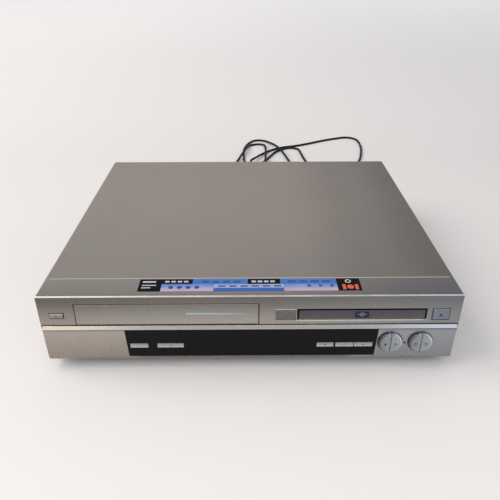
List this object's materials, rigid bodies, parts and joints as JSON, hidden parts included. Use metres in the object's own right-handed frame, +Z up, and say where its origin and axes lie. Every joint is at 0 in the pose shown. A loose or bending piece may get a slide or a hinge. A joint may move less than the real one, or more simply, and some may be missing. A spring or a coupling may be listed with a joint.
{
  "type": "dvd vcr combo player",
  "caption": "Silver component player with a video cassette deck on the left, a sliding disc tray on the right, a smoked display window and a mains lead behind.",
  "frame": {"origin": "centre of the footprint of the casing and its feet, on the surface that the feet stand on, without the mains lead", "axes": "+X to the right seen from the front, +Y from the front towards the rear, +Z up"},
  "size_m": [0.4764, 0.7526, 0.096],
  "materials": {
    "silver_casing": "satin silver paint on moulded plastic",
    "cover_paint": "matte silver-grey paint on steel sheet",
    "bright_trim": "polished bright strip",
    "smoked_window": "glossy near-black smoked plastic",
    "display_glass": "dark glass tube",
    "button_silver": "satin silver plastic",
    "tray_grey": "metallic dark grey",
    "tray_plastic": "matte dark grey",
    "sheet_steel": "bright zinc-plated steel",
    "machined_steel": "fine machined",
    "motor_can": "plain can",
    "pale_plastic": "natural acetal and flat cable",
    "black_plastic": "matte black",
    "black_rubber": "matte black rubber",
    "circuit_board": "green board with fitted components",
    "power_board": "tan board with fitted components",
    "cord_black": "satin black flexible plastic"
  },
  "bodies": {
    "housing": {"chassis_base": "sheet_steel", "top_cover": "cover_paint", "front_panel": "silver_casing", "trim_strip": "bright_trim", "window_panel": "smoked_window", "display_tube": "display_glass", "door_spring": "sheet_steel", "loader_frame": "tray_plastic", "tray_motor": "motor_can", "clamp_bridge": "sheet_steel", "deck_plate": "sheet_steel", "lower_drum": "machined_steel", "holder_bracket": "sheet_steel", "tape_heads": "machined_steel", "loading_motor": "motor_can", "power_supply": "power_board", "main_board": "circuit_board", "tuner_can": "sheet_steel", "control_board": "circuit_board", "switch_boards": "circuit_board", "disc_board": "circuit_board", "ribbon_cables": "pale_plastic", "scart_sockets": "black_plastic", "phono_sockets": "black_plastic", "digital_sockets": "black_plastic", "feet": "black_rubber", "cover_screws": "machined_steel", "strain_relief": "cord_black", "mains_cord": "cord_black", "mains_plug": "cord_black"},
    "cassette_door": {"cassette_door": "silver_casing"},
    "power_button": {"power_button": "button_silver"},
    "source_button": {"source_button": "button_silver"},
    "cassette_eject_button": {"cassette_eject_button": "button_silver"},
    "record_button": {"record_button": "button_silver"},
    "channel_down_button": {"channel_down_button": "button_silver"},
    "channel_up_button": {"channel_up_button": "button_silver"},
    "rewind_button": {"rewind_button": "button_silver"},
    "forward_button": {"forward_button": "button_silver"},
    "stop_button": {"stop_button": "button_silver"},
    "play_button": {"play_button": "button_silver"},
    "tray_open_button": {"tray_open_button": "button_silver"},
    "disc_tray": {"tray_front": "tray_grey", "disc_tray": "tray_plastic"},
    "tray_gear": {"tray_gear": "pale_plastic"},
    "traverse": {"traverse_plate": "sheet_steel", "sled_rods": "machined_steel"},
    "disc_turntable": {"disc_turntable": "tray_plastic"},
    "laser_sled": {"laser_sled": "black_plastic"},
    "disc_clamp": {"disc_clamp": "tray_plastic"},
    "head_drum": {"head_drum": "machined_steel"},
    "capstan": {"capstan": "machined_steel"},
    "pinch_arm": {"pinch_arm": "machined_steel"},
    "pinch_roller": {"pinch_roller": "black_rubber"},
    "supply_reel": {"supply_reel": "black_plastic"},
    "takeup_reel": {"takeup_reel": "black_plastic"},
    "holder_slider": {"holder_slider": "sheet_steel"},
    "cassette_holder": {"cassette_holder": "sheet_steel"},
    "guide_left": {"guide_left": "machined_steel"},
    "guide_right": {"guide_right": "machined_steel"}
  },
  "joints": [
    {"name": "cassette_door_hinge", "type": "hinge", "parent": "housing", "child": "cassette_door", "pos_m": [-0.0855, -0.1763, 0.0906], "axis": [1, 0, 0], "range_deg": [0, 98], "stiffness_Nm_per_rad": 0.004, "springref_deg": -34.38},
    {"name": "power_press", "type": "slide", "parent": "housing", "child": "power_button", "axis": [0, 1, 0], "range_m": [0, 0.0006], "stiffness_N_per_m": 250, "springref_m": -0.0016},
    {"name": "source_press", "type": "slide", "parent": "housing", "child": "source_button", "axis": [0, 1, 0], "range_m": [0, 0.0006], "stiffness_N_per_m": 250, "springref_m": -0.0016},
    {"name": "cassette_eject_press", "type": "slide", "parent": "housing", "child": "cassette_eject_button", "axis": [0, 1, 0], "range_m": [0, 0.0006], "stiffness_N_per_m": 250, "springref_m": -0.0016},
    {"name": "record_press", "type": "slide", "parent": "housing", "child": "record_button", "axis": [0, 1, 0], "range_m": [0, 0.0006], "stiffness_N_per_m": 250, "springref_m": -0.0016},
    {"name": "channel_down_press", "type": "slide", "parent": "housing", "child": "channel_down_button", "axis": [0, 1, 0], "range_m": [0, 0.0006], "stiffness_N_per_m": 250, "springref_m": -0.0016},
    {"name": "channel_up_press", "type": "slide", "parent": "housing", "child": "channel_up_button", "axis": [0, 1, 0], "range_m": [0, 0.0006], "stiffness_N_per_m": 250, "springref_m": -0.0016},
    {"name": "rewind_press", "type": "slide", "parent": "housing", "child": "rewind_button", "axis": [0, 1, 0], "range_m": [0, 0.0006], "stiffness_N_per_m": 250, "springref_m": -0.0016},
    {"name": "forward_press", "type": "slide", "parent": "housing", "child": "forward_button", "axis": [0, 1, 0], "range_m": [0, 0.0006], "stiffness_N_per_m": 250, "springref_m": -0.0016},
    {"name": "stop_press", "type": "slide", "parent": "housing", "child": "stop_button", "axis": [0, 1, 0], "range_m": [0, 0.0006], "stiffness_N_per_m": 250, "springref_m": -0.0016},
    {"name": "play_press", "type": "slide", "parent": "housing", "child": "play_button", "axis": [0, 1, 0], "range_m": [0, 0.0006], "stiffness_N_per_m": 250, "springref_m": -0.0016},
    {"name": "tray_open_press", "type": "slide", "parent": "housing", "child": "tray_open_button", "axis": [0, 1, 0], "range_m": [0, 0.0006], "stiffness_N_per_m": 250, "springref_m": -0.0016},
    {"name": "tray_slide", "type": "slide", "parent": "housing", "child": "disc_tray", "axis": [0, -1, 0], "range_m": [0, 0.135]},
    {"name": "tray_gear_turn", "type": "hinge", "parent": "housing", "child": "tray_gear", "pos_m": [0.0686, -0.1595, 0.067], "axis": [0, 0, 1], "range_deg": [-2, 776]},
    {"name": "traverse_lift", "type": "hinge", "parent": "housing", "child": "traverse", "pos_m": [0.1156, -0.0135, 0.055], "axis": [-1, 0, 0], "range_deg": [0, 6]},
    {"name": "disc_spin", "type": "hinge", "parent": "traverse", "child": "disc_turntable", "pos_m": [0.1156, -0.11211, 0.0557], "axis": [0, -0.1045, 0.9945], "continuous": true},
    {"name": "laser_travel", "type": "slide", "parent": "traverse", "child": "laser_sled", "axis": [0, 0.9945, 0.1045], "range_m": [0, 0.035]},
    {"name": "clamp_spin", "type": "hinge", "parent": "housing", "child": "disc_clamp", "pos_m": [0.1156, -0.1115, 0.08], "axis": [0, 0, 1], "continuous": true},
    {"name": "drum_spin", "type": "hinge", "parent": "housing", "child": "head_drum", "pos_m": [-0.0855, 0.0225, 0.0386], "axis": [0, 0.0976, 0.9952], "continuous": true},
    {"name": "capstan_spin", "type": "hinge", "parent": "housing", "child": "capstan", "pos_m": [-0.0235, -0.0035, 0.04], "axis": [0, 0, 1], "continuous": true},
    {"name": "pinch_swing", "type": "hinge", "parent": "housing", "child": "pinch_arm", "pos_m": [-0.0015, 0.0145, 0.036], "axis": [0, 0, 1], "range_deg": [0, 29], "stiffness_Nm_per_rad": 0.02, "springref_deg": -17.19},
    {"name": "pinch_roller_spin", "type": "hinge", "parent": "pinch_arm", "child": "pinch_roller", "pos_m": [-0.02339, 0.01668, 0.045], "axis": [0, 0, 1], "continuous": true},
    {"name": "supply_reel_spin", "type": "hinge", "parent": "housing", "child": "supply_reel", "pos_m": [-0.1315, -0.0735, 0.04], "axis": [0, 0, 1], "continuous": true},
    {"name": "takeup_reel_spin", "type": "hinge", "parent": "housing", "child": "takeup_reel", "pos_m": [-0.0395, -0.0735, 0.04], "axis": [0, 0, 1], "continuous": true},
    {"name": "holder_in_out", "type": "slide", "parent": "housing", "child": "holder_slider", "axis": [0, 1, 0], "range_m": [-0.05, 0]},
    {"name": "holder_drop", "type": "slide", "parent": "holder_slider", "child": "cassette_holder", "axis": [0, 0, -1], "range_m": [0, 0.026]},
    {"name": "guide_right_load", "type": "hinge", "parent": "housing", "child": "guide_right", "pos_m": [-0.12, 0.0219, 0.035], "axis": [0, 0, 1], "range_deg": [0, 47.8]},
    {"name": "guide_left_load", "type": "hinge", "parent": "housing", "child": "guide_left", "pos_m": [-0.051, 0.0219, 0.035], "axis": [0, 0, -1], "range_deg": [0, 47.8]}
  ],
  "couplings": [
    {"joint": "tray_gear_turn", "follows": "tray_slide", "rad_per_m": 100},
    {"joint": "guide_left_load", "follows": "guide_right_load", "ratio": 1}
  ]
}
